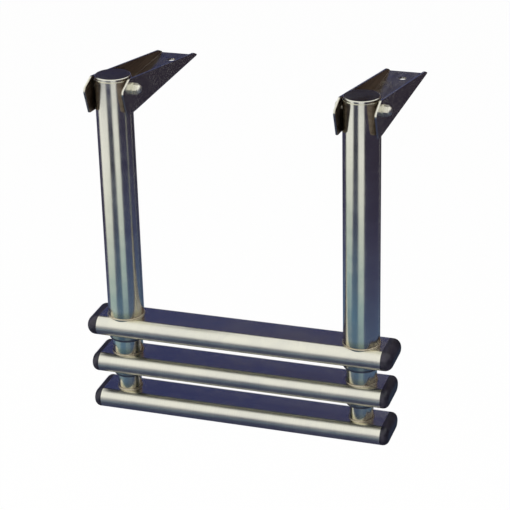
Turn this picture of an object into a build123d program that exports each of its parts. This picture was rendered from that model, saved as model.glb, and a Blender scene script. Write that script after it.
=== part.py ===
"""Telescopic boarding ladder, three steps, drawn closed and hanging from two hinge brackets.

Millimetres, +Z up, +X along the treads to the viewer's right, +Y back onto the platform.
The origin lies on the flat underside of the left bracket, midway between its bolt holes.
"""

import os

from build123d import *

os.makedirs("parts", exist_ok=True)

# Telescopic tubes, polished stainless steel
tube_wall = 1.5
middle_gap = 1.5
inner_gap = 2.0
outer_radius = 19.0
middle_radius = outer_radius - tube_wall - middle_gap
inner_radius = middle_radius - tube_wall - inner_gap
travel = 215.0

# Clearances
hole_clearance = 0.15
running_clearance = 0.15
plug_clearance = 0.1
side_clearance = 0.4
stop_clearance = 0.3
stop_gap = 5.5
pin_gap = 6.5
cap_gap = 1.5

# Welds and tube ends
weld_leg = 0.9
weld_depth = 4.0
tube_overhang = 3.0
edge_break = 0.4

# Plastic guides between the tubes
guide_rim = 2.5
guide_sleeve = 22.0
guide_edge = 0.6

# Domed plastic end caps of the treads; those of the top tread stand further out
top_cap_rise = 12.0
top_cap_round = 8.8
cap_rise = 8.5
cap_round = 6.6
cap_insert = 5.0
cap_skin = 2.0

# Steel end caps of the outer tubes, each with a narrow neck under its rim
tube_cap_inset = 0.7
tube_cap_neck = 0.8
tube_cap_neck_depth = 0.5
tube_cap_rim = 2.6
tube_cap_insert = 3.0
tube_cap_round = 0.9
tube_cap_skin = 1.5

# Hinge bolt, washers and dome nut
pivot_z = 26.0
pivot_drop = 10.0
pin_radius = 3.0
pin_hole_radius = 3.2
head_flats = 10.0
head_height = 3.6
washer_radius = 6.2
washer_thick = 1.0
nut_hex_height = 4.2
nut_dome_height = 3.4
nut_dome_radius = 4.6
nut_dome_round = 3.2
nut_bore_radius = 3.05
pin_reach = 4.8

# Treads, flat oval stainless tube
tread_length = 309.0
tread_margin = 6.0
tread_width = 2 * (outer_radius + tread_margin)
tread_height = 21.0
tread_wall = 1.5
closed_gap = 22.3
tread_pitch = tread_height + closed_gap
tread_overhang = outer_radius + cap_insert + cap_gap

# Bracket length from the ear's nose to the back end, and its two bolt holes
bracket_length = 215.0
bolt_hole_radius = 4.25
bolt_hole_y = 55.0
back_margin = 22.0
nose_reach = 9.0
bracket_back = bolt_hole_y + back_margin
ear_front = bracket_back - bracket_length + nose_reach

# Layout of the two sides; the front of each tube lies behind the nose of its bracket
side_spacing = tread_length - 2 * tread_overhang
left_x = 0.0
right_x = left_x + side_spacing
middle_x = (left_x + right_x) / 2
tube_y = ear_front + outer_radius
tube_top = pivot_z + pivot_drop
outer_length = (
    pivot_drop + pin_radius + pin_gap + guide_rim + travel + stop_gap + 2 * guide_sleeve
)

# Heights of the tube ends and treads, each tread just above the end of its own tube
outer_bottom = tube_top - outer_length
top_tread_z = outer_bottom + tube_overhang + tread_height / 2
middle_tread_z = top_tread_z - tread_pitch
bottom_tread_z = middle_tread_z - tread_pitch
middle_bottom = middle_tread_z - tread_height / 2 - tube_overhang
inner_bottom = bottom_tread_z - tread_height / 2 + tread_wall
middle_top = outer_bottom + 2 * guide_sleeve + stop_gap + travel
inner_top = middle_bottom + 2 * guide_sleeve + stop_gap + travel

# Hinge brackets, folded from stainless sheet; side outline as (y, z) points
sheet = 2.0
channel_inside = 2 * (outer_radius + side_clearance)
channel_width = channel_inside + 2 * sheet
bend_outside = 2.8
bend_inside = bend_outside - sheet
back_lip = 5.0
back_slope = 9.0
back_step = 1.0
base_front = tube_y + outer_radius + stop_clearance
foot_back = 1.0
foot_rise = 3.0
nose_rise = 4.5
top_back = 11.5
top_rise = 2.5
base_corner = (base_front, 0.0)
ear_foot = (ear_front + foot_back, foot_rise)
ear_nose = (ear_front - nose_reach, pivot_z + nose_rise)
ear_top = (ear_front + top_back, tube_top + top_rise)
back_top = (bracket_back - back_slope, sheet + back_lip)
back_tip = (bracket_back, sheet + back_step)
back_foot = (bracket_back, 0.0)
ear_foot_round = 2.0
ear_nose_round = 4.5
ear_top_round = 8.0
back_round = 6.0


def save(part, name):
    """Label one finished piece and write it as a STEP file."""
    part.label = name
    export_step(part, f"parts/{name}.step")


def hinge_bracket(x):
    """Folded channel, open at the top, with two ears that stand beside the tube."""
    full_length = bracket_back - ear_nose[0]
    wall_height = 2 * tube_top
    with BuildPart() as bracket:
        # folded sheet over the whole length
        with BuildSketch(Plane.XZ.offset(-bracket_back)) as fold:
            with Locations((x, wall_height / 2)):
                Rectangle(channel_width, wall_height)
            fillet(fold.vertices().group_by(Axis.Y)[0], bend_outside)
        extrude(amount=full_length)
        with BuildSketch(Plane.XZ.offset(-bracket_back)) as fold_inside:
            with Locations((x, sheet + wall_height / 2)):
                Rectangle(channel_inside, wall_height)
            fillet(fold_inside.vertices().group_by(Axis.Y)[0], bend_inside)
        extrude(amount=full_length, mode=Mode.SUBTRACT)
        # no base beside the tube, where only the two ears go on
        with BuildSketch(Plane.XZ.offset(-base_front)):
            with Locations((x, wall_height / 2)):
                Rectangle(channel_inside, 2 * wall_height)
        extrude(amount=full_length, mode=Mode.SUBTRACT)
        # side outline of the walls
        with BuildSketch(Plane.YZ.offset(x - channel_width)) as side:
            with BuildLine():
                Polyline(
                    ear_foot, ear_nose, ear_top, back_top, back_tip, back_foot, base_corner,
                    close=True,
                )
            make_face()
            fillet(side.vertices().sort_by_distance(ear_foot)[0], ear_foot_round)
            fillet(side.vertices().sort_by_distance(ear_nose)[0], ear_nose_round)
            fillet(side.vertices().sort_by_distance(ear_top)[0], ear_top_round)
            fillet(side.vertices().sort_by_distance(back_top)[0], back_round)
        extrude(amount=2 * channel_width, mode=Mode.INTERSECT)
        # bolt holes in the base
        with Locations((x, -bolt_hole_y, sheet / 2), (x, bolt_hole_y, sheet / 2)):
            Cylinder(bolt_hole_radius, 2 * sheet, mode=Mode.SUBTRACT)
        # hinge bolt hole through both ears
        with Locations((x, tube_y, pivot_z)):
            Cylinder(pin_hole_radius, 2 * channel_width, rotation=(0, 90, 0), mode=Mode.SUBTRACT)
    return bracket.part


def hinge_bolt(x):
    """Hexagon bolt with its head on the left wall and its end inside the dome nut."""
    head_face = x - channel_width / 2 - washer_thick
    pin_end = x + channel_width / 2 + washer_thick + pin_reach
    with BuildPart() as bolt:
        with BuildSketch(Plane.YZ.offset(head_face)):
            with Locations((tube_y, pivot_z)):
                RegularPolygon(head_flats / 2, 6, major_radius=False)
        extrude(amount=-head_height)
        chamfer(bolt.faces().sort_by(Axis.X)[0].edges(), edge_break)
        with BuildSketch(Plane.YZ.offset(head_face)):
            with Locations((tube_y, pivot_z)):
                Circle(pin_radius)
        extrude(amount=pin_end - head_face)
        chamfer(bolt.faces().sort_by(Axis.X)[-1].edges(), edge_break)
    return bolt.part


def hinge_washer(inner_face):
    """Flat washer on one outside face of a bracket, from inner_face towards +X."""
    with BuildPart() as washer:
        with BuildSketch(Plane.YZ.offset(inner_face)):
            with Locations((tube_y, pivot_z)):
                Circle(washer_radius)
                Circle(pin_hole_radius, mode=Mode.SUBTRACT)
        extrude(amount=washer_thick)
    return washer.part


def dome_nut(x):
    """Hexagon nut with a closed dome, blind bore towards the bracket."""
    seat = x + channel_width / 2 + washer_thick
    with BuildPart() as nut:
        with BuildSketch(Plane.YZ.offset(seat)):
            with Locations((tube_y, pivot_z)):
                RegularPolygon(head_flats / 2, 6, major_radius=False)
        extrude(amount=nut_hex_height)
        with BuildSketch(Plane.YZ.offset(seat)):
            with Locations((tube_y, pivot_z)):
                Circle(nut_dome_radius)
        extrude(amount=nut_hex_height + nut_dome_height)
        fillet(nut.faces().sort_by(Axis.X)[-1].edges(), nut_dome_round)
        with BuildSketch(Plane.YZ.offset(seat)):
            with Locations((tube_y, pivot_z)):
                Circle(nut_bore_radius)
        extrude(amount=pin_reach + edge_break, mode=Mode.SUBTRACT)
    return nut.part


def tread_envelope(tread_z):
    """Solid flat oval bar with the outside shape of one tread."""
    with BuildPart() as bar:
        with BuildSketch(Plane.YZ.offset(middle_x - tread_length / 2)):
            with Locations((tube_y, tread_z)):
                SlotOverall(tread_width, tread_height)
        extrude(amount=tread_length)
    return bar.part


def weld_bead(x, radius, tread_z):
    """Thin ring of weld metal around a tube, its underside shaped to the tread below it."""
    tread_face = tread_z + tread_height / 2
    tread_solid = tread_envelope(tread_z)
    with BuildPart() as bead:
        with Locations((x, tube_y, tread_face - weld_depth / 2)):
            Cylinder(radius + weld_leg, weld_depth)
        with Locations((x, tube_y, tread_face + weld_leg / 2)):
            Cone(radius + weld_leg, radius, weld_leg)
        with Locations((x, tube_y, tread_face)):
            Cylinder(radius - tube_wall / 2, 4 * weld_depth, mode=Mode.SUBTRACT)
        add(tread_solid, mode=Mode.SUBTRACT)
    return bead.part


def ladder_tube(x, radius, top, bottom, tread_z):
    """One tube from its top end to its bottom end, with its weld on the tread it carries."""
    with BuildPart() as tube:
        with BuildSketch(Plane.XY.offset(bottom)):
            with Locations((x, tube_y)):
                Circle(radius)
                Circle(radius - tube_wall, mode=Mode.SUBTRACT)
        extrude(amount=top - bottom)
        add(weld_bead(x, radius, tread_z))
    return tube


def tread(tread_z, tube_radius, through):
    """Flat oval tread tube with round holes for its two tubes."""
    start = middle_x - tread_length / 2
    hole_height = tread_height if through else tread_height / 2
    with BuildPart() as step:
        with BuildSketch(Plane.YZ.offset(start)):
            with Locations((tube_y, tread_z)):
                SlotOverall(tread_width, tread_height)
                SlotOverall(
                    tread_width - 2 * tread_wall, tread_height - 2 * tread_wall, mode=Mode.SUBTRACT
                )
        extrude(amount=tread_length)
        hole_base = tread_z + tread_height / 2 - hole_height
        with BuildSketch(Plane.XY.offset(hole_base)):
            with Locations((left_x, tube_y), (right_x, tube_y)):
                Circle(tube_radius + hole_clearance)
        extrude(amount=hole_height, mode=Mode.SUBTRACT)
    return step.part


def tread_cap(tread_z, side, rise, rounding):
    """Domed plastic plug in one end of a tread; side is -1 for left and 1 for right."""
    face = middle_x + side * tread_length / 2
    plug_width = tread_width - 2 * tread_wall - 2 * plug_clearance
    plug_height = tread_height - 2 * tread_wall - 2 * plug_clearance
    with BuildPart() as cap:
        with BuildSketch(Plane.YZ.offset(face)):
            with Locations((tube_y, tread_z)):
                SlotOverall(tread_width, tread_height)
        extrude(amount=side * rise)
        fillet(cap.faces().sort_by(Axis.X)[-1 if side > 0 else 0].edges(), rounding)
        with BuildSketch(Plane.YZ.offset(face)):
            with Locations((tube_y, tread_z)):
                SlotOverall(plug_width, plug_height)
                SlotOverall(plug_width - 2 * cap_skin, plug_height - 2 * cap_skin, mode=Mode.SUBTRACT)
        extrude(amount=-side * cap_insert)
    return cap.part


def tube_cap(x):
    """Steel disc on the open top of an outer tube, with a collar that ends above the hinge bolt."""
    rim_radius = outer_radius - tube_cap_inset
    collar_radius = outer_radius - tube_wall - plug_clearance
    with BuildPart() as cap:
        with BuildSketch(Plane.XY.offset(tube_top)):
            with Locations((x, tube_y)):
                Circle(rim_radius)
        extrude(amount=tube_cap_neck + tube_cap_rim)
        fillet(cap.faces().sort_by(Axis.Z)[-1].edges(), tube_cap_round)
        # narrow neck that shows as a dark line under the rim
        with BuildSketch(Plane.XY.offset(tube_top)):
            with Locations((x, tube_y)):
                Circle(outer_radius)
                Circle(rim_radius - tube_cap_neck_depth, mode=Mode.SUBTRACT)
        extrude(amount=tube_cap_neck, mode=Mode.SUBTRACT)
        with BuildSketch(Plane.XY.offset(tube_top)):
            with Locations((x, tube_y)):
                Circle(collar_radius)
                Circle(collar_radius - tube_cap_skin, mode=Mode.SUBTRACT)
        extrude(amount=-tube_cap_insert)
    return cap.part


def lower_guide(x, radius, next_radius, tube_end):
    """Plastic bush in the lower end of a tube; the next tube slides through it."""
    bore = next_radius + running_clearance
    with BuildPart() as guide:
        with BuildSketch(Plane.XY.offset(tube_end)):
            with Locations((x, tube_y)):
                Circle(radius)
                Circle(bore, mode=Mode.SUBTRACT)
        extrude(amount=-guide_rim)
        chamfer(guide.edges().group_by(Axis.Z)[0].sort_by(SortBy.RADIUS)[-1], guide_edge)
        with BuildSketch(Plane.XY.offset(tube_end)):
            with Locations((x, tube_y)):
                Circle(radius - tube_wall - plug_clearance / 2)
                Circle(bore, mode=Mode.SUBTRACT)
        extrude(amount=guide_sleeve)
    return guide.part


def upper_guide(x, radius, outside_radius, tube_end):
    """Plastic ring around the top end of a sliding tube, running in the bore of the tube outside."""
    run = outside_radius - tube_wall - running_clearance
    with BuildPart() as guide:
        with BuildSketch(Plane.XY.offset(tube_end)):
            with Locations((x, tube_y)):
                Circle(run)
                Circle(radius - tube_wall, mode=Mode.SUBTRACT)
        extrude(amount=guide_rim)
        with BuildSketch(Plane.XY.offset(tube_end)):
            with Locations((x, tube_y)):
                Circle(run)
                Circle(radius + plug_clearance / 2, mode=Mode.SUBTRACT)
        extrude(amount=-guide_sleeve)
    return guide.part


# Both sides of the ladder
for side_name, side_x in (("left", left_x), ("right", right_x)):
    # fixed to the platform
    save(hinge_bracket(side_x), f"{side_name}_bracket")
    save(hinge_bolt(side_x), f"{side_name}_pivot_bolt")
    save(hinge_washer(side_x - channel_width / 2 - washer_thick), f"{side_name}_head_washer")
    save(hinge_washer(side_x + channel_width / 2), f"{side_name}_nut_washer")
    save(dome_nut(side_x), f"{side_name}_pivot_nut")

    # swinging outer tube with its hinge hole
    outer_tube = ladder_tube(side_x, outer_radius, tube_top, outer_bottom, top_tread_z)
    with outer_tube:
        with Locations((side_x, tube_y, pivot_z)):
            Cylinder(pin_hole_radius, 3 * outer_radius, rotation=(0, 90, 0), mode=Mode.SUBTRACT)
    save(outer_tube.part, f"{side_name}_outer_tube")
    save(tube_cap(side_x), f"{side_name}_tube_cap")
    save(lower_guide(side_x, outer_radius, middle_radius, outer_bottom), f"{side_name}_outer_guide")

    # middle sliding tube
    middle_tube = ladder_tube(side_x, middle_radius, middle_top, middle_bottom, middle_tread_z)
    save(middle_tube.part, f"{side_name}_middle_tube")
    save(upper_guide(side_x, middle_radius, outer_radius, middle_top), f"{side_name}_middle_top_guide")
    save(lower_guide(side_x, middle_radius, inner_radius, middle_bottom), f"{side_name}_middle_guide")

    # inner sliding tube
    inner_tube = ladder_tube(side_x, inner_radius, inner_top, inner_bottom, bottom_tread_z)
    save(inner_tube.part, f"{side_name}_inner_tube")
    save(upper_guide(side_x, inner_radius, middle_radius, inner_top), f"{side_name}_inner_top_guide")

# Treads and their end caps
for tread_name, tread_z, tube_radius, through, rise, rounding in (
    ("top", top_tread_z, outer_radius, True, top_cap_rise, top_cap_round),
    ("middle", middle_tread_z, middle_radius, True, cap_rise, cap_round),
    ("bottom", bottom_tread_z, inner_radius, False, cap_rise, cap_round),
):
    save(tread(tread_z, tube_radius, through), f"{tread_name}_tread")
    save(tread_cap(tread_z, -1, rise, rounding), f"{tread_name}_tread_left_cap")
    save(tread_cap(tread_z, 1, rise, rounding), f"{tread_name}_tread_right_cap")
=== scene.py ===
"""Looks, camera and studio of a stainless telescopic boarding ladder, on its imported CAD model."""

from __future__ import annotations

import logging
import math
from dataclasses import dataclass
from enum import Enum
from typing import Any

import bpy
import numpy as np
from mathutils import Matrix, Vector


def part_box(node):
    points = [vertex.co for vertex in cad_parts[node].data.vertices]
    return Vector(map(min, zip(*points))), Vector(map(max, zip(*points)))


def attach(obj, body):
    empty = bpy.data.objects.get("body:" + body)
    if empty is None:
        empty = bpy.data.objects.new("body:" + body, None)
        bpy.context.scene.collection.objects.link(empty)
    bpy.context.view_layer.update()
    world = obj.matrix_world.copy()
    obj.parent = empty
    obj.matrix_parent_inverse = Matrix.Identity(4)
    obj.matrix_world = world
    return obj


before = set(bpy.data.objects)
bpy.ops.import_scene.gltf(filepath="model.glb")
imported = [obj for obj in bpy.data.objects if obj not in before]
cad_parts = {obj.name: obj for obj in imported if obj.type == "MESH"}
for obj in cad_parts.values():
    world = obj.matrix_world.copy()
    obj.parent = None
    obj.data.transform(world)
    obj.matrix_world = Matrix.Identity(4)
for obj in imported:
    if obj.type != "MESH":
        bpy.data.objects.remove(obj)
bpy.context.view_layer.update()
MM = 0.001

# The photograph's side in pixels, and the width of the camera's sensor in millimetres
IMAGE_PIXELS = 510.0
SENSOR_WIDTH = 36.0

# What a Mix node needs to multiply colours, and its sockets for them
TINTING = {"data_type": "RGBA", "blend_type": "MULTIPLY"}
MIX_FIRST, MIX_SECOND, MIX_RESULT = 6, 7, 2

# Depth of the waves, belt lines and moulded texture that bumps draw
WAVE_DEPTH = 1.2 * MM
LINE_DEPTH = 0.02 * MM
MOULD_DEPTH = 0.1 * MM

# How high a weld's heat tint reaches, how uneven its edge is, and how softly a channel's dirt ends
TINT_HEIGHT = 12 * MM
TINT_RAGGED = 2 * MM
WALL_FADE = 0.6 * MM

# Leg of the plain weld bead on each CAD tube
CAD_BEAD = 0.9 * MM

# Points across and up a flag, and round and out on the ground card
FLAG_GRID = (61, 33)
CARD_GRID = (73, 14)

logging.basicConfig(level=logging.INFO, format="%(message)s")
log = logging.getLogger("ladder")

Link = tuple[bpy.types.Node, str | int]
Stops = tuple[tuple[float, str], ...]


def linear(hex_colour: str) -> tuple[float, float, float, float]:
    """Turn an sRGB hex colour into linear numbers.

    Args:
        hex_colour: Six hex digits, such as "D8D5C4".

    Returns:
        Linear red, green and blue, and a full alpha.
    """
    values = [int(hex_colour[i : i + 2], 16) / 255 for i in (0, 2, 4)]
    red, green, blue = (v / 12.92 if v <= 0.04045 else ((v + 0.055) / 1.055) ** 2.4 for v in values)
    return (red, green, blue, 1.0)


def add_node(
    tree: bpy.types.NodeTree,
    kind: str,
    inputs: dict[str | int, Any] | None = None,
    stops: Stops = (),
    **settings: Any,
) -> bpy.types.Node:
    """Add one shader node with its settings, input values and links.

    Args:
        tree: Node tree that gets the node.
        kind: Blender's name of the node type, without the ShaderNode in front.
        inputs: Input name or number to its value, or to (node, output name or number) for a link.
        stops: Position and hex colour of each stop of a colour ramp, in rising order.
        **settings: Node attributes.

    Returns:
        The new node.
    """
    node = tree.nodes.new(f"ShaderNode{kind}")
    for name, value in settings.items():
        setattr(node, name, value)
    for socket, value in (inputs or {}).items():
        if isinstance(value, tuple) and isinstance(value[0], bpy.types.Node):
            tree.links.new(value[0].outputs[value[1]], node.inputs[socket])
        else:
            node.inputs[socket].default_value = value
    if stops:
        elements = node.color_ramp.elements
        while len(elements) < len(stops):
            elements.new(0.5)
        for element, (position, colour) in zip(elements, stops):
            element.position = position
            element.color = linear(colour)
    return node


def new_material(name: str) -> tuple[bpy.types.Material, bpy.types.NodeTree]:
    """Make a material with an empty node tree.

    Args:
        name: Name of the material.

    Returns:
        The material and its tree.
    """
    made = bpy.data.materials.new(name)
    made.use_nodes = True
    made.node_tree.nodes.clear()
    return made, made.node_tree


def centre_of(node: str) -> tuple[float, float]:
    """Give the middle of a CAD node seen from above.

    Args:
        node: Name of the CAD node.

    Returns:
        Its x and y in metres.
    """
    low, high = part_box(node)
    return ((low[0] + high[0]) / 2, (low[1] + high[1]) / 2)


class Grain(Enum):
    """Direction of the finest lines that a polishing belt left, as Mapping scales per metre."""

    AROUND_UPRIGHT = (30.0, 30.0, 5000.0)
    AROUND_TREAD = (5000.0, 30.0, 30.0)
    ALONG_CHANNEL = (2500.0, 25.0, 2500.0)
    TURNED = (4000.0, 220.0, 220.0)


@dataclass(frozen=True)
class PolishedStainless:
    """Marine stainless steel, such as 316, drawn or folded and then buffed on a belt.

    The eye sees a sharp but slightly wavy mirror, faint belt lines, wiped-off smears and a few
    dried water spots; heat beside a weld leaves a straw to blue tint.

    Attributes:
        name: Name of the material.
        grain: Direction of the belt lines.
        colour: Lighter tone of the steel.
        shade: Darker tone, in lines and smears.
        roughness: Roughness of the clean mirror.
        smear: What a smear adds to the roughness.
        rounded: What faces that aren't level add to it.
        inside: Distance from a channel's middle for its drag marks and painted wall shade, in
            metres.
        top: Colour multiplied into level faces that look up, as painted shade.
        weld_z: Height of the weld that left a heat tint, in metres.
        seed: Shift of the patterns, so that no two pieces share them.
    """

    name: str
    grain: Grain
    colour: str = "ECEADA"
    shade: str = "DAD9CE"
    roughness: float = 0.13
    smear: float = 0.10
    rounded: float = 0.0
    inside: float | None = None
    top: str | None = None
    weld_z: float | None = None
    seed: float = 0.0

    def material(self) -> bpy.types.Material:
        """Build the node material.

        Returns:
            The finished material.
        """
        made, tree = new_material(self.name)
        place = add_node(tree, "TexCoord")
        # belt lines: 0.2 mm apart on the real tube, drawn as coarse as a picture can show
        stretched = {"Scale": self.grain.value, "Location": (self.seed, 0.0, 0.0)}
        line_map = add_node(tree, "Mapping", {"Vector": (place, "Object"), **stretched})
        fine = {"Scale": 1.0, "Detail": 3.0, "Roughness": 0.6}
        line_noise = add_node(tree, "TexNoise", {"Vector": (line_map, "Vector"), **fine})
        lines: Link = (line_noise, "Fac")
        # wiped smears, one in about 36 mm
        shifted = {"Location": (self.seed, 0.3, 0.1)}
        smear_map = add_node(tree, "Mapping", {"Vector": (place, "Object"), **shifted})
        wiped = {"Scale": 28.0, "Detail": 5.0, "Roughness": 0.62, "Distortion": 0.6}
        smear_noise = add_node(tree, "TexNoise", {"Vector": (smear_map, "Vector"), **wiped})
        smears: Link = (smear_noise, "Fac")
        base = self.two_tones(tree, lines, smears)
        if self.weld_z is not None:
            base = self.heat_tint(tree, place, base, smears)
        # painted shade: faces that look up are darkened in the colour
        if self.top is not None:
            base = self.painted_shade_on_top(tree, place, base)
        spots = self.water_spots(tree, smear_map, smears)
        rough = self.dulled(tree, lines, smears, spots)
        if self.rounded > 0.0:
            rough = self.satin_sides(tree, place, rough)
        if self.inside is not None:
            base, rough = self.drags_and_wall_shade(tree, place, base, rough)
        links = {"Base Color": base, "Roughness": rough, "Normal": self.relief(tree, place, lines)}
        shader = add_node(tree, "BsdfPrincipled", {**links, "Metallic": 1.0})
        add_node(tree, "OutputMaterial", {"Surface": (shader, "BSDF")})
        return made

    def two_tones(self, tree: bpy.types.NodeTree, lines: Link, smears: Link) -> Link:
        """Let belt lines and smears move the colour a little between the two tones.

        Args:
            tree: Node tree of the material.
            lines: Noise of the belt lines.
            smears: Noise of the smears.

        Returns:
            The colour.
        """
        tone = add_node(tree, "Math", {0: lines, 1: smears}, operation="MULTIPLY")
        tones = ((0.12, self.shade), (0.34, self.colour))
        return (add_node(tree, "ValToRGB", {"Fac": (tone, "Value")}, tones), "Color")

    def water_spots(self, tree: bpy.types.NodeTree, where: bpy.types.Node, smears: Link) -> Link:
        """Draw the rims of dried water spots, about 12 mm apart, where the smears lie thick.

        Args:
            tree: Node tree of the material.
            where: Mapping node that the smears are read with.
            smears: Noise of the smears.

        Returns:
            How much a spot shows, 0 to 0.2.
        """
        apart = {"Vector": (where, "Vector"), "Scale": 85.0, "Randomness": 1.0}
        cells = add_node(tree, "TexVoronoi", apart, feature="DISTANCE_TO_EDGE")
        thin = {"From Min": 0.0, "From Max": 0.04, "To Min": 1.0, "To Max": 0.0}
        rim = add_node(tree, "MapRange", {"Value": (cells, "Distance"), **thin})
        thick = {"From Min": 0.58, "From Max": 0.7, "To Min": 0.0, "To Max": 0.2}
        zone = add_node(tree, "MapRange", {"Value": smears, **thick})
        both = {0: (rim, "Result"), 1: (zone, "Result")}
        return (add_node(tree, "Math", both, operation="MULTIPLY"), "Value")

    def dulled(self, tree: bpy.types.NodeTree, lines: Link, smears: Link, spots: Link) -> Link:
        """Make a mirror a little duller along lines, in smears and on spots.

        Args:
            tree: Node tree of the material.
            lines: Noise of the belt lines.
            smears: Noise of the smears.
            spots: How much a water spot shows.

        Returns:
            The roughness.
        """
        reach = {"From Min": 0.35, "From Max": 0.75}
        duller = {"To Min": self.roughness, "To Max": self.roughness + self.smear}
        smeared = add_node(tree, "MapRange", {"Value": smears, **reach, **duller})
        with_lines = {0: lines, 1: 0.05, 2: (smeared, "Result")}
        lined = add_node(tree, "Math", with_lines, operation="MULTIPLY_ADD")
        with_spots = {0: spots, 1: 0.2, 2: (lined, "Value")}
        rough = add_node(tree, "Math", with_spots, operation="MULTIPLY_ADD", use_clamp=True)
        return (rough, "Value")

    def relief(self, tree: bpy.types.NodeTree, place: bpy.types.Node, lines: Link) -> Link:
        """Raise the long waves that drawing left in the steel, and the belt lines on them.

        Args:
            tree: Node tree of the material.
            place: Texture Coordinate node.
            lines: Noise of the belt lines.

        Returns:
            The normal.
        """
        long = {"Vector": (place, "Object"), "Scale": 26.0, "Detail": 2.0}
        waves = add_node(tree, "TexNoise", long)
        gentle = {"Height": (waves, "Fac"), "Strength": 0.16, "Distance": WAVE_DEPTH}
        wavy = add_node(tree, "Bump", gentle)
        faint = {"Height": lines, "Strength": 0.10, "Distance": LINE_DEPTH}
        return (add_node(tree, "Bump", {**faint, "Normal": (wavy, "Normal")}), "Normal")

    def painted_shade_on_top(self, tree: bpy.types.NodeTree, place: bpy.types.Node, base: Link) -> Link:
        """Darken faces that look up with a multiplied colour: painted shade.

        Args:
            tree: Node tree of the material.
            place: Texture Coordinate node.
            base: Colour of the clean steel.

        Returns:
            The colour with the painted shade on top.
        """
        facing = add_node(tree, "SeparateXYZ", {"Vector": (place, "Normal")})
        up = {"Value": (facing, "Z"), "From Min": 0.97, "From Max": 0.999}
        level = add_node(tree, "MapRange", up)
        top_shade = {"Factor": (level, "Result"), MIX_FIRST: base, MIX_SECOND: linear(self.top)}
        return (add_node(tree, "Mix", top_shade, **TINTING), MIX_RESULT)

    def satin_sides(self, tree: bpy.types.NodeTree, place: bpy.types.Node, rough: Link) -> Link:
        """Keep the satin finish of a tread's rounded sides, which a flat wheel doesn't polish.

        Args:
            tree: Node tree of the material.
            place: Texture Coordinate node.
            rough: Roughness of the flats.

        Returns:
            The roughness of flats and sides.
        """
        facing = add_node(tree, "SeparateXYZ", {"Vector": (place, "Normal")})
        flat = add_node(tree, "Math", {0: (facing, "Z")}, operation="ABSOLUTE")
        turned = {"From Min": 0.999, "From Max": 0.97, "To Min": 0.0, "To Max": self.rounded}
        satin = add_node(tree, "MapRange", {"Value": (flat, "Value"), **turned})
        both = {0: rough, 1: (satin, "Result")}
        return (add_node(tree, "Math", both, operation="ADD", use_clamp=True), "Value")

    def drags_and_wall_shade(
        self, tree: bpy.types.NodeTree, place: bpy.types.Node, base: Link, rough: Link
    ) -> tuple[Link, Link]:
        """Mark a channel's inside with drag marks, and paint shade on its duller side walls.

        Args:
            tree: Node tree of the material.
            place: Texture Coordinate node.
            base: Colour of the clean sheet.
            rough: Roughness of the clean sheet.

        Returns:
            Colour and roughness with the drag marks and painted shade.
        """
        # the distance from the middle of the nearer bracket; the left one stands at x = 0
        across = add_node(tree, "SeparateXYZ", {"Vector": (place, "Object")})
        half_spacing = centre_of("right_bracket")[0] / 2
        off = add_node(tree, "Math", {0: (across, "X"), 1: half_spacing}, operation="PINGPONG")
        faces = {"From Min": self.inside, "From Max": self.inside - WALL_FADE}
        inner = add_node(tree, "MapRange", {"Value": (off, "Value"), **faces})
        facing = add_node(tree, "SeparateXYZ", {"Vector": (place, "Normal")})
        upright = add_node(tree, "Math", {0: (facing, "X")}, operation="ABSOLUTE")
        both = {0: (inner, "Result"), 1: (upright, "Value")}
        wall = add_node(tree, "Math", both, operation="MULTIPLY")
        # drag marks along the channel, 1 mm wide and 40 mm long, left by the ladder as it folds in
        long = {"Vector": (place, "Object"), "Scale": (950.0, 25.0, 950.0)}
        drag_map = add_node(tree, "Mapping", long)
        drawn = {"Vector": (drag_map, "Vector"), "Scale": 1.0, "Detail": 2.0}
        drags = add_node(tree, "TexNoise", drawn)
        marks = ((0.3, "B4AEA6"), (0.5, "D8D4CE"), (0.72, "F4F2EE"))
        drag = add_node(tree, "ValToRGB", {"Fac": (drags, "Fac")}, marks)
        marked = {"Factor": (inner, "Result"), MIX_FIRST: base, MIX_SECOND: (drag, "Color")}
        base = (add_node(tree, "Mix", marked, **TINTING), MIX_RESULT)
        # painted shade: the channel's side walls are darkened in the colour and made duller
        wall_shade = {"Factor": (wall, "Value"), MIX_FIRST: base, MIX_SECOND: linear("B4A4A2")}
        base = (add_node(tree, "Mix", wall_shade, **TINTING), MIX_RESULT)
        duller = {0: (wall, "Value"), 1: 0.12, 2: rough}
        rough = (add_node(tree, "Math", duller, operation="MULTIPLY_ADD", use_clamp=True), "Value")
        return base, rough

    def heat_tint(
        self, tree: bpy.types.NodeTree, place: bpy.types.Node, base: Link, uneven: Link
    ) -> Link:
        """Tint the steel by its height above the weld: blue at the weld, then straw, then clean.

        Args:
            tree: Node tree of the material.
            place: Texture Coordinate node.
            base: Colour without the tint.
            uneven: Noise that makes the edge of the tint uneven.

        Returns:
            The tinted colour.
        """
        height = add_node(tree, "SeparateXYZ", {"Vector": (place, "Object")})
        ragged = {0: uneven, 1: TINT_RAGGED, 2: (height, "Z")}
        moved = add_node(tree, "Math", ragged, operation="MULTIPLY_ADD")
        reach = {"From Min": self.weld_z, "From Max": self.weld_z + TINT_HEIGHT}
        above = add_node(tree, "MapRange", {"Value": (moved, "Value"), **reach})
        colours = ((0.0, "6E6A72"), (0.22, "A08A68"), (0.5, "DCCF9E"), (0.9, "FFFFFF"))
        tint = add_node(tree, "ValToRGB", {"Fac": (above, "Result")}, colours)
        half = {"Factor": 0.5, MIX_FIRST: base, MIX_SECOND: (tint, "Color")}
        return (add_node(tree, "Mix", half, **TINTING), MIX_RESULT)


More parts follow.
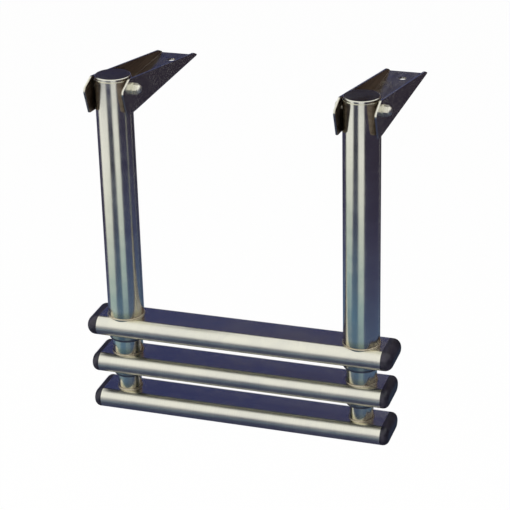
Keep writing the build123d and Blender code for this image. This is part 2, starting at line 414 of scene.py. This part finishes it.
@dataclass(frozen=True)
class MouldedPlastic:
    """Acetal or nylon, injection moulded.

    The eye sees a deep colour with a soft sheen, a very fine moulded texture and light handling
    marks.

    Attributes:
        name: Name of the material.
        colour: Colour of the clean plastic.
        worn: Colour where hands and feet have rubbed it.
        roughness: Roughness of the clean plastic.
        texture: Size of the moulded texture in metres.
    """

    name: str
    colour: str = "191823"
    worn: str = "302C3A"
    roughness: float = 0.32
    texture: float = 0.6 * MM

    def material(self) -> bpy.types.Material:
        """Build the node material.

        Returns:
            The finished material.
        """
        made, tree = new_material(self.name)
        place: Link = (add_node(tree, "TexCoord"), "Object")
        grainy = {"Vector": place, "Scale": 1 / self.texture, "Detail": 2.0}
        texture = add_node(tree, "TexNoise", grainy)
        handled = {"Vector": place, "Scale": 90.0, "Detail": 6.0, "Roughness": 0.7}
        marks: Link = (add_node(tree, "TexNoise", handled), "Fac")
        tones = ((0.42, self.colour), (0.72, self.worn))
        colour = add_node(tree, "ValToRGB", {"Fac": marks}, tones)
        reach = {"From Min": 0.3, "From Max": 0.7}
        duller = {"To Min": self.roughness, "To Max": self.roughness + 0.18}
        rough = add_node(tree, "MapRange", {"Value": marks, **reach, **duller})
        shallow = {"Height": (texture, "Fac"), "Strength": 0.15, "Distance": MOULD_DEPTH}
        normal = add_node(tree, "Bump", shallow)
        inputs = {
            "Base Color": (colour, "Color"),
            "Roughness": (rough, "Result"),
            "Normal": (normal, "Normal"),
            "Metallic": 0.0,
            "IOR": 1.5,
        }
        shader = add_node(tree, "BsdfPrincipled", inputs)
        add_node(tree, "OutputMaterial", {"Surface": (shader, "BSDF")})
        return made


def dress(node: str, material: bpy.types.Material) -> None:
    """Give every material slot of one CAD node the same material.

    Args:
        node: Name of the CAD node.
        material: Material to assign.
    """
    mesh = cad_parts[node].data
    if not mesh.materials:
        mesh.materials.append(material)
    for index in range(len(mesh.materials)):
        mesh.materials[index] = material
    log.info("dressed %s in %s", node, material.name)


def surface_from_grid(
    name: str, points: np.ndarray, material: bpy.types.Material, closed: bool
) -> bpy.types.Object:
    """Make one surface from a grid of points.

    Args:
        name: Name of the object.
        points: Rows by columns by 3, in metres.
        material: Its material.
        closed: Whether the last row joins the first, and the last column too.

    Returns:
        The new object, at the origin.
    """
    rows, columns = points.shape[:2]
    open_edge = 0 if closed else 1
    row, column = np.meshgrid(
        np.arange(rows - open_edge), np.arange(columns - open_edge), indexing="ij"
    )
    next_row, next_column = (row + 1) % rows, (column + 1) % columns
    corners = ((row, column), (row, next_column), (next_row, next_column), (next_row, column))
    faces = np.stack([(r * columns + c).ravel() for r, c in corners], axis=-1)
    mesh = bpy.data.meshes.new(name)
    mesh.from_pydata(points.reshape(-1, 3).tolist(), [], faces.tolist())
    mesh.polygons.foreach_set("use_smooth", np.ones(len(mesh.polygons), dtype=bool))
    mesh.materials.append(material)
    made = bpy.data.objects.new(name, mesh)
    bpy.context.scene.collection.objects.link(made)
    return made


@dataclass
class WeldRing:
    """One hand-run weld round a tube where it stands on its tread.

    Attributes:
        name: Name of the piece.
        tube: CAD node of the tube.
        body: Body that the ring rides on.
        tread_top: Height of the tread's top in metres.
        section: Radius of the bead before it swells.
        lift: How far the middle of the bead stands off from tube and tread.
        ripple: Length of one drop of filler metal.
        along_drop: Points along each drop.
        around_section: Points round the bead.
        seed: Angle that tells one ring from the next.
    """

    name: str
    tube: str
    body: str
    tread_top: float
    section: float = 0.7 * MM
    lift: float = 0.3 * MM
    ripple: float = 2.1 * MM
    along_drop: int = 8
    around_section: int = 16
    seed: float = 0.0

    def surface(self) -> np.ndarray:
        """Work out the bead.

        It is a ring of section r round the tube's axis: x = cx + (R + r cos v) cos u, y = cy +
        (R + r cos v) sin u, z = top + lift + r sin v, where R is the tube's radius and the lift.
        The section swells once for each drop of filler metal, with n drops in the ring:
        r = s (1 + 0.16 |sin(n u / 2 + 0.7 cos v)| + 0.07 sin(3 u + seed)).

        Returns:
            Points, rows round the section by columns round the tube.
        """
        centre_x, centre_y = centre_of(self.tube)
        radius = self.tube_radius() + self.lift
        turn = 2 * math.pi
        drops = round(turn * radius / self.ripple)
        u = np.linspace(0.0, turn, drops * self.along_drop, endpoint=False)[None, :]
        v = np.linspace(0.0, turn, self.around_section, endpoint=False)[:, None]
        drop = 0.16 * np.abs(np.sin(drops * u / 2 + 0.7 * np.cos(v)))
        r = self.section * (1.0 + drop + 0.07 * np.sin(3 * u + self.seed))
        out = radius + r * np.cos(v)
        z = self.tread_top + self.lift + r * np.sin(v)
        return np.stack([centre_x + out * np.cos(u), centre_y + out * np.sin(u), z], axis=-1)

    def tube_radius(self) -> float:
        """Give the tube's radius, from its box without the bead on both sides."""
        low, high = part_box(self.tube)
        return (high[0] - low[0]) / 2 - CAD_BEAD

    def build(self, material: bpy.types.Material) -> None:
        """Build the ring and let it ride with its section.

        Args:
            material: Finish of the bead.
        """
        made = surface_from_grid(self.name, self.surface(), material, True)
        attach(made, self.body)
        log.info("built %s", self.name)


@dataclass
class HingeBrackets:
    """The two channel brackets with their bolts, washers and nuts.

    Attributes:
        sheet: Finish of the folded sheet.
        fixing: Finish of bolts, washers and nuts.
    """

    sheet: PolishedStainless = PolishedStainless(
        "polished_stainless_sheet",
        Grain.ALONG_CHANNEL,
        roughness=0.18,
        inside=20.5 * MM,
        seed=3.1,
    )
    fixing: PolishedStainless = PolishedStainless(
        "turned_stainless_fixings",
        Grain.TURNED,
        colour="F2F0E0",
        shade="DAD8CA",
        roughness=0.34,
        seed=5.2,
    )

    def build(self) -> None:
        """Dress both brackets and their fixings."""
        sheet = self.sheet.material()
        fixing = self.fixing.material()
        for side in ("left", "right"):
            dress(f"{side}_bracket", sheet)
            for piece in ("pivot_bolt", "head_washer", "nut_washer", "pivot_nut"):
                dress(f"{side}_{piece}", fixing)


@dataclass
class LadderSection:
    """One pair of tubes with the tread that it carries, its end caps and guides.

    Attributes:
        tread: CAD node of the tread.
        tube: Name that both tubes share.
        body: Body that the section moves with.
        tread_top: Height of the tread's top, and of the welds on it, in metres.
        guides: Names that the plastic guides of both sides share.
        ends: Names that the steel end caps of both tubes share.
        seed: Shift of the patterns.
    """

    tread: str
    tube: str
    body: str
    tread_top: float
    guides: tuple[str, ...] = ()
    ends: tuple[str, ...] = ()
    seed: float = 0.0

    def finishes(self) -> tuple[bpy.types.Material, ...]:
        """Make the metal finishes of this section.

        Returns:
            Materials of the tubes, the tread, the weld rings and the tubes' end caps.
        """
        tube = PolishedStainless(
            f"polished_{self.tube}", Grain.AROUND_UPRIGHT, weld_z=self.tread_top, seed=self.seed
        )
        tread = PolishedStainless(
            f"polished_{self.tread}",
            Grain.AROUND_TREAD,
            roughness=0.14,
            smear=0.06,
            rounded=0.14,
            seed=self.seed + 1.7,
        )
        bead = PolishedStainless(
            f"heat_tinted_{self.tube}_weld",
            Grain.TURNED,
            colour="E8E0CA",
            shade="B4A68C",
            roughness=0.26,
            seed=self.seed + 2.9,
        )
        # the end caps' faces that look up get painted shade from top
        closing = PolishedStainless(
            f"pressed_{self.tube}_end", Grain.TURNED, top="A6A6AA", seed=self.seed + 4.1
        )
        return tuple(finish.material() for finish in (tube, tread, bead, closing))

    def build(self, cap: bpy.types.Material, guide: bpy.types.Material) -> None:
        """Dress the tubes, the tread and the plastic pieces, and weld the tubes on.

        Args:
            cap: Material of the domed caps.
            guide: Material of the guide bushes.
        """
        tube, tread, bead, closing = self.finishes()
        dress(self.tread, tread)
        for side in ("left", "right"):
            dress(f"{self.tread}_{side}_cap", cap)
            dress(f"{side}_{self.tube}", tube)
            for name in self.guides:
                dress(f"{side}_{name}", guide)
            for name in self.ends:
                dress(f"{side}_{name}", closing)
            ring = f"{side}_{self.tube}_weld"
            seed = self.seed + len(side)
            WeldRing(ring, f"{side}_{self.tube}", self.body, self.tread_top, seed=seed).build(bead)


@dataclass(frozen=True)
class ReflectionFlag:
    """One glowing sheet of painted reflection round the ladder, seen only in its polished metal.

    Attributes:
        name: Name of the flag.
        outline: Rows of a height in metres and the angles of both edges there, in degrees from -Y
            towards +X, from foot to top.
        soft: Widths of the faded first and last edge, in degrees.
        colours: Height in metres and hex colour, from foot to top.
    """

    name: str
    outline: tuple[tuple[float, float, float], ...]
    soft: tuple[float, float]
    colours: Stops


# Shade of the flags that stand to the right and behind, from the floor up
LOW_SHADE: Stops = ((-0.84, "50688A"), (-0.76, "4E5C80"), (-0.66, "434262"), (-0.55, "38344C"))

# A tube mirrors a flag 0.55 m below its own height, and the top of a tread 0.55 m above
REFLECTION_FLAGS = (
    ReflectionFlag(
        "gap_flag",
        (
            (-0.86, -52.0, 0.0),
            (-0.74, -46.0, 2.0),
            (-0.62, -41.0, 5.0),
            (-0.48, -34.0, 4.0),
            (-0.32, -32.0, 3.0),
        ),
        (7.0, 7.0),
        (
            (-0.86, "6A93B2"),
            (-0.80, "5E82A0"),
            (-0.70, "4A5470"),
            (-0.58, "444458"),
            (-0.48, "3E3E40"),
            (-0.32, "40405E"),
        ),
    ),
    ReflectionFlag(
        "nose_flag",
        ((-0.33, -80.0, 45.0), (-0.06, -80.0, 45.0)),
        (10.0, 10.0),
        ((-0.33, "3C3E60"), (-0.28, "484A70"), (-0.18, "8E90A0"), (-0.06, "FFFFFF")),
    ),
    ReflectionFlag(
        "side_flag",
        ((-0.86, 32.0, 140.0), (0.45, 32.0, 140.0)),
        (4.0, 0.2),
        (*LOW_SHADE, (-0.45, "332D3E"), (0.45, "463E54")),
    ),
    ReflectionFlag(
        "channel_flag",
        ((-0.86, 140.0, 180.0), (0.85, 140.0, 180.0)),
        (0.2, 0.2),
        (
            (-0.84, "445876"),
            (-0.76, "424E6C"),
            (-0.66, "393853"),
            (-0.55, "2F2C40"),
            (-0.45, "292433"),
            (0.10, "40343A"),
            (0.40, "5E4A44"),
            (0.60, "443430"),
            (0.85, "3A2E2C"),
        ),
    ),
    ReflectionFlag(
        "back_flag",
        ((-0.86, 180.0, 273.0), (0.85, 180.0, 273.0)),
        (0.2, 8.0),
        (
            *LOW_SHADE,
            (0.05, "464C72"),
            (0.24, "3C4270"),
            (0.32, "2F3058"),
            (0.35, "363E72"),
            (0.375, "3B4D8E"),
            (0.405, "3B4D8E"),
            (0.415, "6E5E4C"),
            (0.445, "6E5E4C"),
            (0.465, "1C100A"),
            (0.60, "180E0A"),
            (0.85, "1E1614"),
        ),
    ),
)

# Shade of the card below the ladder, by the distance from its middle in metres
GROUND_SHADE: Stops = (
    (0.0, "3E3E54"),
    (0.30, "3A3E5C"),
    (0.50, "38405F"),
    (0.70, "484852"),
    (1.00, "38446A"),
    (1.20, "6A8498"),
    (1.40, "9DBCC4"),
    (1.65, "A9B9B5"),
    (1.95, "EFEDE4"),
)


@dataclass(frozen=True)
class Lamp:
    """One square soft lamp that faces the middle of the ladder and isn't mirrored in its metal.

    Attributes:
        name: Name of the lamp.
        place: Its place in metres.
        size: Side of its square in metres.
        power: Power in watts.
        colour: Colour of its light.
    """

    name: str
    place: tuple[float, float, float]
    size: float
    power: float
    colour: str

    def hang(self, target: tuple[float, float, float]) -> None:
        """Hang the lamp.

        Args:
            target: Place that it faces.
        """
        data = bpy.data.lights.new(self.name, "AREA")
        data.shape = "SQUARE"
        data.size = self.size
        data.energy = self.power
        data.color = linear(self.colour)[:3]
        made = bpy.data.objects.new(self.name, data)
        aim = Vector(target) - Vector(self.place)
        turn = aim.to_track_quat("-Z", "Y").to_matrix().to_4x4()
        made.matrix_world = Matrix.Translation(self.place) @ turn
        made.visible_glossy = False
        bpy.context.scene.collection.objects.link(made)


@dataclass
class Studio:
    """Pale floor, white surround, soft lamps and flags that paint reflections into polished metal.

    Attributes:
        floor_z: Height of the floor, below the lowest reach of the drawn-out ladder.
        floor_half: Half the side of the floor.
        floor_colour: Colour of the floor.
        floor_white: Share of plain white that the floor shows to camera, mirror and glass rays.
        card_lift: Height of the ground card above the floor.
        flag_distance: Radius of the cylinder that the flags stand on.
        middle: Axis of that cylinder.
        target: Place that the lamps face.
        soft_world: Strength of the surround as light on the object.
        lamps: The lamps.
    """

    floor_z: float = -0.86
    floor_half: float = 6.0
    floor_colour: str = "F2F2F0"
    floor_white: float = 0.97
    card_lift: float = 0.002
    flag_distance: float = 1.2
    middle: tuple[float, float] = (0.129, -0.11)
    target: tuple[float, float, float] = (0.129, -0.05, -0.15)
    soft_world: float = 0.5
    lamps: tuple[Lamp, ...] = (
        Lamp("key_lamp", (-1.3, -1.7, 1.5), 1.4, 40.0, "FFF9EE"),
        Lamp("front_lamp", (0.8, -2.6, 1.0), 1.0, 20.0, "FFF9EE"),
        Lamp("top_lamp", (0.1, 0.4, 2.2), 1.6, 25.0, "FFFFFF"),
    )

    @staticmethod
    def seen_rays(tree: bpy.types.NodeTree) -> Link:
        """Give 1 for camera, mirror and glass rays and 0 for the rest.

        Args:
            tree: Node tree that gets the nodes.

        Returns:
            The value, as node and output.
        """
        rays = add_node(tree, "LightPath")
        mirrored = {0: (rays, "Is Camera Ray"), 1: (rays, "Is Glossy Ray")}
        seen = add_node(tree, "Math", mirrored, operation="ADD")
        through = {0: (seen, "Value"), 1: (rays, "Is Transmission Ray")}
        return (add_node(tree, "Math", through, operation="ADD", use_clamp=True), "Value")

    def floor_paint(self) -> bpy.types.Material:
        """Make matt studio paint that stays white to the eye and in polished metal.

        Returns:
            The finished material.
        """
        made, tree = new_material("pale_studio_floor")
        white_part = {0: self.seen_rays(tree), 1: self.floor_white}
        share = add_node(tree, "Math", white_part, operation="MULTIPLY")
        matt = add_node(tree, "BsdfDiffuse", {"Color": linear(self.floor_colour)})
        glow = add_node(tree, "Emission", {"Color": linear("FFFFFF"), "Strength": 1.0})
        parts = {0: (share, "Value"), 1: (matt, "BSDF"), 2: (glow, "Emission")}
        mixed = add_node(tree, "MixShader", parts)
        add_node(tree, "OutputMaterial", {"Surface": (mixed, "Shader")})
        return made

    def painted_reflection(self, name: str, colours: Stops, round_card: bool) -> bpy.types.Material:
        """Make painted reflection, shaded by its height, or on the ground card by the distance.

        Args:
            name: Name of the flag or card.
            colours: Height or distance in metres, and hex colour, in rising order.
            round_card: Whether the shade follows the distance from the middle of the card.

        Returns:
            The finished material.
        """
        made, tree = new_material(f"{name}_cloth")
        place = add_node(tree, "TexCoord")
        if round_card:
            out = {0: (place, "Object"), 1: (*self.middle, self.floor_z)}
            metres: Link = (add_node(tree, "VectorMath", out, operation="DISTANCE"), "Value")
        else:
            metres = (add_node(tree, "SeparateXYZ", {"Vector": (place, "Object")}), "Z")
        low, high = colours[0][0], colours[-1][0]
        share = add_node(tree, "MapRange", {"Value": metres, "From Min": low, "From Max": high})
        stops = tuple(((at - low) / (high - low), colour) for at, colour in colours)
        shade = add_node(tree, "ValToRGB", {"Fac": (share, "Result")}, stops)
        glow = add_node(tree, "Emission", {"Color": (shade, "Color"), "Strength": 1.0})
        surface: Link = (glow, "Emission")
        if not round_card:
            clear = add_node(tree, "BsdfTransparent")
            edge = add_node(tree, "Attribute", attribute_name="edge")
            faded = {0: (edge, "Fac"), 1: (clear, "BSDF"), 2: surface}
            surface = (add_node(tree, "MixShader", faded), "Shader")
        add_node(tree, "OutputMaterial", {"Surface": surface})
        return made

    @staticmethod
    def stage(
        name: str, points: np.ndarray, material: bpy.types.Material, only_in_metal: bool
    ) -> bpy.types.Object:
        """Make one stage surface from a grid of points.

        Args:
            name: Name of the object.
            points: Rows by columns by 3, in metres.
            material: Its material.
            only_in_metal: Whether it shows in polished metal and nowhere else.

        Returns:
            The new object.
        """
        made = surface_from_grid(name, points, material, False)
        if only_in_metal:
            made.visible_camera = False
            made.visible_diffuse = False
            made.visible_shadow = False
            made.visible_transmission = False
            made.visible_volume_scatter = False
        return made

    def around(
        self, turn: np.ndarray, radius: float | np.ndarray, z: float | np.ndarray
    ) -> np.ndarray:
        """Place points round the middle: x = cx + radius sin(turn), y = cy - radius cos(turn).

        Args:
            turn: Angles in radians from -Y towards +X.
            radius: Distances from the middle.
            z: Heights.

        Returns:
            Points, with one more axis of 3.
        """
        x = self.middle[0] + radius * np.sin(turn)
        y = self.middle[1] - radius * np.cos(turn)
        return np.stack([x, y, np.broadcast_to(z, x.shape)], axis=-1)

    def lay_floor(self) -> None:
        """Lay the floor."""
        ends = [-self.floor_half, self.floor_half]
        x, y = np.meshgrid(ends, ends)
        points = np.stack([x, y, np.full_like(x, self.floor_z)], axis=-1)
        self.stage("studio_floor", points, self.floor_paint(), False)

    def lay_ground_card(self) -> None:
        """Lay the shaded round card below the ladder: painted reflection that only the metal shows.
        """
        steps = np.radians(np.linspace(0, 360, CARD_GRID[0]))
        turn, radius = np.meshgrid(steps, np.linspace(0.0, GROUND_SHADE[-1][0], CARD_GRID[1]))
        points = self.around(turn, radius, self.floor_z + self.card_lift)
        painted_reflection = self.painted_reflection("ground_card", GROUND_SHADE, True)
        self.stage("ground_card", points, painted_reflection, True)

    def hang(self, flag: ReflectionFlag) -> None:
        """Hang one flag.

        It is part of an upright cylinder round the ladder. Its angle runs between the outline's two
        edges at each height z, and the attribute edge rises from 0 at an edge to 1 where the faded
        border ends.

        Args:
            flag: Its place and colours.
        """
        heights, first, last = np.array(flag.outline).T
        levels = np.linspace(heights[0], heights[-1], FLAG_GRID[1])
        across, z = np.meshgrid(np.linspace(0.0, 1.0, FLAG_GRID[0]), levels)
        start, end = np.interp(z, heights, first), np.interp(z, heights, last)
        angle = start + across * (end - start)
        points = self.around(np.radians(angle), self.flag_distance, z)
        painted_reflection = self.painted_reflection(flag.name, flag.colours, False)
        made = self.stage(flag.name, points, painted_reflection, True)
        fades = np.minimum((angle - start) / flag.soft[0], (end - angle) / flag.soft[1])
        edge = made.data.attributes.new("edge", "FLOAT", "POINT")
        edge.data.foreach_set("value", np.clip(fades, 0.0, 1.0).ravel())
        log.info("hung %s", flag.name)

    def world(self) -> None:
        """Surround all with white at strength 1 where it is seen, and softer as light."""
        made = bpy.data.worlds.new("studio_surround")
        bpy.context.scene.world = made
        made.use_nodes = True
        tree = made.node_tree
        tree.nodes.clear()
        brighter = {"Value": self.seen_rays(tree), "To Min": self.soft_world, "To Max": 1.0}
        strength = add_node(tree, "MapRange", brighter)
        white = {"Strength": (strength, "Result"), "Color": linear("FFFFFF")}
        back = add_node(tree, "Background", white)
        add_node(tree, "OutputWorld", {"Surface": (back, "Background")})

    def build(self) -> None:
        """Set up floor, surround, ground card, flags and lamps."""
        self.lay_floor()
        self.world()
        self.lay_ground_card()
        for flag in REFLECTION_FLAGS:
            self.hang(flag)
        for lamp in self.lamps:
            lamp.hang(self.target)


@dataclass
class PhotoCamera:
    """Camera that stands where the photograph was taken from.

    Attributes:
        azimuth: Turn of the view to the left, in degrees.
        elevation: Tilt of the view down, in degrees.
        roll: Lean of the camera, in degrees.
        place: Its place in metres.
        focal_pixels: Focal length in pixels of the photograph.
        centre: Pixel that the camera looks at.
        reach: Farthest distance that it shows, in metres.
    """

    azimuth: float = 18.455
    elevation: float = 24.524
    roll: float = 1.395
    place: tuple[float, float, float] = (0.68517, -1.71435, 0.62427)
    focal_pixels: float = 1822.0
    centre: tuple[float, float] = (259.0, 260.0)
    reach: float = 50.0

    def axes(self) -> list[Vector]:
        """Work out the camera's own X, Y and Z.

        Returns:
            Right, up and backwards.
        """
        turn, tilt, lean = (math.radians(v) for v in (self.azimuth, self.elevation, self.roll))
        level = Vector((math.cos(turn), math.sin(turn), 0.0))
        ahead = Vector((-math.sin(turn), math.cos(turn), 0.0))
        forward = math.cos(tilt) * ahead + Vector((0.0, 0.0, -math.sin(tilt)))
        down = forward.cross(level)
        right = math.cos(lean) * level + math.sin(lean) * down
        down = -math.sin(lean) * level + math.cos(lean) * down
        return [right, -down, -forward]

    def build(self) -> None:
        """Create the camera from its angles, place and focal length in pixels."""
        half = IMAGE_PIXELS / 2
        data = bpy.data.cameras.new("photo_camera")
        data.sensor_fit = "HORIZONTAL"
        data.sensor_width = SENSOR_WIDTH
        data.lens = SENSOR_WIDTH * self.focal_pixels / IMAGE_PIXELS
        data.shift_x = (half - self.centre[0]) / IMAGE_PIXELS
        data.shift_y = (self.centre[1] - half) / IMAGE_PIXELS
        data.clip_end = self.reach
        made = bpy.data.objects.new("photo_camera", data)
        turned = Matrix(self.axes()).transposed().to_4x4()
        made.matrix_world = Matrix.Translation(self.place) @ turned
        bpy.context.scene.collection.objects.link(made)
        bpy.context.scene.camera = made
        log.info("camera stands at %s", self.place)


SECTIONS = (
    LadderSection(
        "top_tread",
        "outer_tube",
        "upper_section",
        tread_top=-0.2265,
        guides=("outer_guide",),
        ends=("tube_cap",),
        seed=0.0,
    ),
    LadderSection(
        "middle_tread",
        "middle_tube",
        "middle_section",
        tread_top=-0.2698,
        guides=("middle_guide", "middle_top_guide"),
        seed=7.0,
    ),
    LadderSection(
        "bottom_tread",
        "inner_tube",
        "lower_section",
        tread_top=-0.3131,
        guides=("inner_top_guide",),
        seed=13.0,
    ),
)


def main() -> None:
    """Build the camera, dress the ladder and set up the studio."""
    bpy.context.scene.view_settings.view_transform = "Standard"
    PhotoCamera().build()
    cap = MouldedPlastic("moulded_black_caps").material()
    bush = MouldedPlastic("moulded_guide_bush", colour="1B2234", worn="2C3347", roughness=0.42)
    guide = bush.material()
    HingeBrackets().build()
    for section in SECTIONS:
        section.build(cap, guide)
    Studio().build()


if __name__ == "__main__":
    main()
